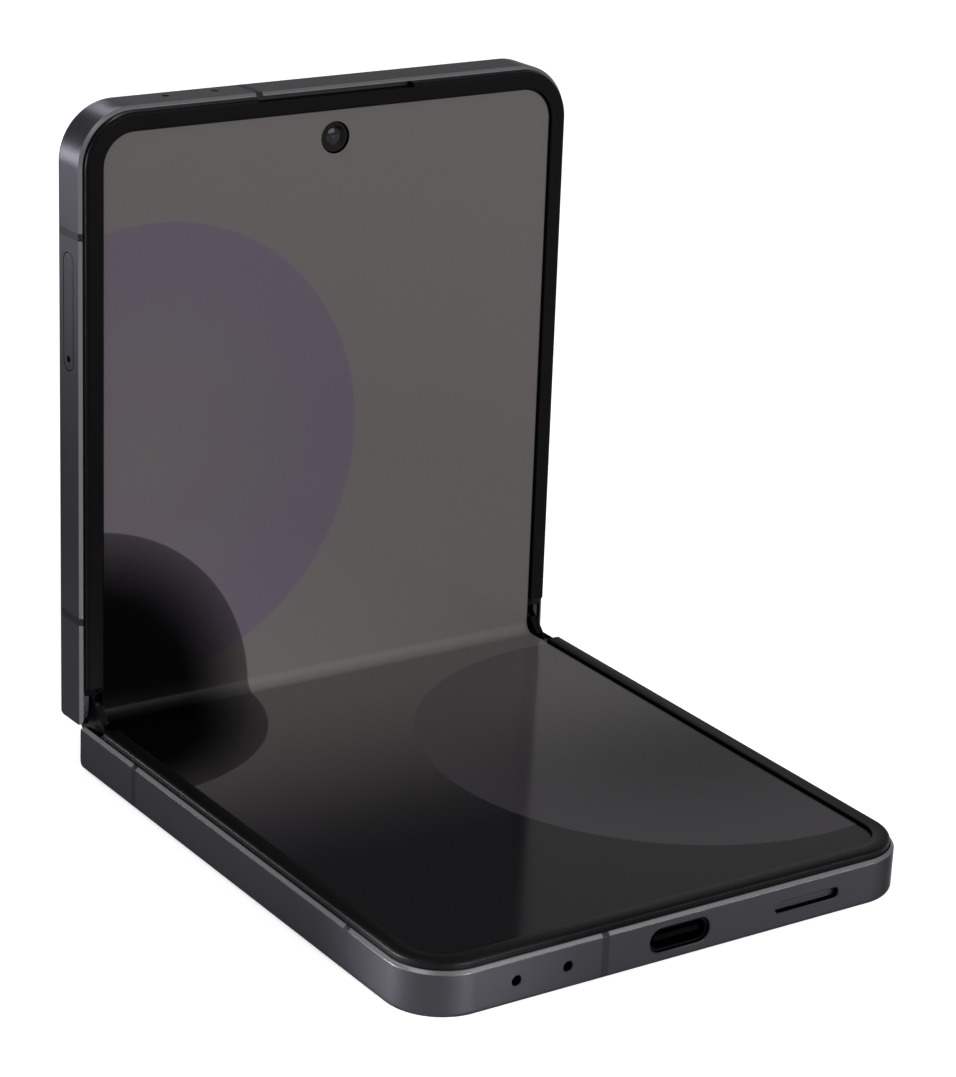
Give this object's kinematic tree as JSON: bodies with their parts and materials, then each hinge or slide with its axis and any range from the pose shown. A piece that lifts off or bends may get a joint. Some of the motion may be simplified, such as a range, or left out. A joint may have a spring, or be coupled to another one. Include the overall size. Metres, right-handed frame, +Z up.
{
  "type": "foldable smartphone",
  "caption": "Clamshell folding phone standing open like a small laptop: gear-linked hinge, bending inner display, outer display and cameras, keys and card tray.",
  "frame": {"origin": "middle of the object's box on the surface that the lower half lies on, as posed at 91 degrees", "axes": "+Z up, -Y from the fold along the lower half towards the charging port, +X to the side with the keys"},
  "size_m": [0.0743, 0.0906, 0.0881],
  "materials": {
    "metal_frame": "satin anodised dark grey",
    "antenna_plastic": "matte dark grey",
    "black_trim": "fine satin black",
    "back_glass": "satin dark grey coated glass",
    "display": "glossy flexible display with a soft grey picture",
    "cover_display": "glossy black",
    "bare_steel": "plain",
    "black_steel": "blackened",
    "board": "green solder mask",
    "copper": "copper",
    "cell_foil": "black wrapped pouch cell",
    "module_black": "matte black moulded",
    "lens_glass": "dark coated lens",
    "flash_window": "clear ribbed window",
    "seal_rubber": "matte black"
  },
  "bodies": {
    "lower_half": {"lower_frame": "metal_frame", "lower_antenna_breaks": "antenna_plastic", "lower_bezel": "black_trim", "lower_back_cover": "back_glass", "display_lower": "display", "lower_display_plate": "bare_steel", "lower_battery": "cell_foil", "charging_coil": "copper", "sub_board": "board", "usb_c_shell": "black_steel", "usb_c_tongue": "black_trim", "usb_c_seal": "seal_rubber", "loudspeaker": "module_black", "speaker_mesh": "black_trim", "bottom_microphones": "bare_steel", "vibration_motor": "bare_steel", "lower_screws": "bare_steel", "lower_magnets": "bare_steel", "lower_hinge_arms": "black_steel"},
    "hinge_spine": {"hinge_spine": "metal_frame", "hinge_cap_left": "black_trim", "hinge_cap_right": "black_trim", "hinge_brackets": "bare_steel", "hinge_pins": "bare_steel", "idler_shafts": "bare_steel", "friction_springs": "bare_steel", "display_fold": "display", "hinge_flex_cables": "copper"},
    "lower_idlers": {"lower_idler_gears": "black_steel"},
    "upper_idlers": {"upper_idler_gears": "black_steel"},
    "upper_half": {"upper_frame": "metal_frame", "upper_antenna_breaks": "antenna_plastic", "upper_bezel": "black_trim", "cover_glass": "back_glass", "cover_display": "cover_display", "display_upper": "display", "upper_display_plate": "bare_steel", "upper_battery": "cell_foil", "main_board": "board", "shield_cans": "bare_steel", "camera_rings": "metal_frame", "camera_lenses": "lens_glass", "camera_modules": "module_black", "flash_lens": "flash_window", "front_camera": "module_black", "earpiece_receiver": "module_black", "earpiece_mesh": "black_trim", "top_microphones": "bare_steel", "card_reader": "bare_steel", "side_key_switch": "bare_steel", "volume_key_switches": "bare_steel", "upper_screws": "bare_steel", "upper_magnets": "bare_steel", "upper_hinge_arms": "black_steel"},
    "card_tray": {"card_tray": "metal_frame", "card_tray_seal": "seal_rubber"},
    "side_key": {"side_key": "metal_frame"},
    "volume_key": {"volume_key": "metal_frame"}
  },
  "joints": [
    {"name": "spine_fold", "type": "hinge", "parent": "lower_half", "child": "hinge_spine", "pos_m": [0, 0.03479, 0.00492], "axis": [1, 0, 0], "range_deg": [-44.5, 45.5], "deforming": ["display_fold", "hinge_flex_cables"]},
    {"name": "upper_fold", "type": "hinge", "parent": "hinge_spine", "child": "upper_half", "pos_m": [0, 0.03792, 0.008], "axis": [1, 0, 0], "range_deg": [-44.5, 45.5], "deforming": ["display_fold", "hinge_flex_cables"]},
    {"name": "lower_idler_turn", "type": "hinge", "parent": "hinge_spine", "child": "lower_idlers", "pos_m": [0, 0.03706, 0.0046], "axis": [1, 0, 0], "range_deg": [-86, 86]},
    {"name": "upper_idler_turn", "type": "hinge", "parent": "hinge_spine", "child": "upper_idlers", "pos_m": [0, 0.0382, 0.00572], "axis": [1, 0, 0], "range_deg": [-86, 86]},
    {"name": "card_tray_slide", "type": "slide", "parent": "upper_half", "child": "card_tray", "axis": [-1, 0, 0], "range_m": [0, 0.0125]},
    {"name": "side_key_press", "type": "slide", "parent": "upper_half", "child": "side_key", "axis": [-1, 0, 0], "range_m": [0, 0.00025], "stiffness_N_per_m": 400},
    {"name": "volume_key_rock", "type": "hinge", "parent": "upper_half", "child": "volume_key", "pos_m": [0.03445, 0.04083, 0.05876], "axis": [0, -0.9998, 0.0175], "range_deg": [-0.8, 0.8], "stiffness_Nm_per_rad": 0.04}
  ],
  "couplings": [
    {"joint": "upper_fold", "follows": "spine_fold", "ratio": 1},
    {"joint": "upper_idler_turn", "follows": "spine_fold", "ratio": -1.875},
    {"joint": "lower_idler_turn", "follows": "spine_fold", "ratio": 1.875}
  ]
}
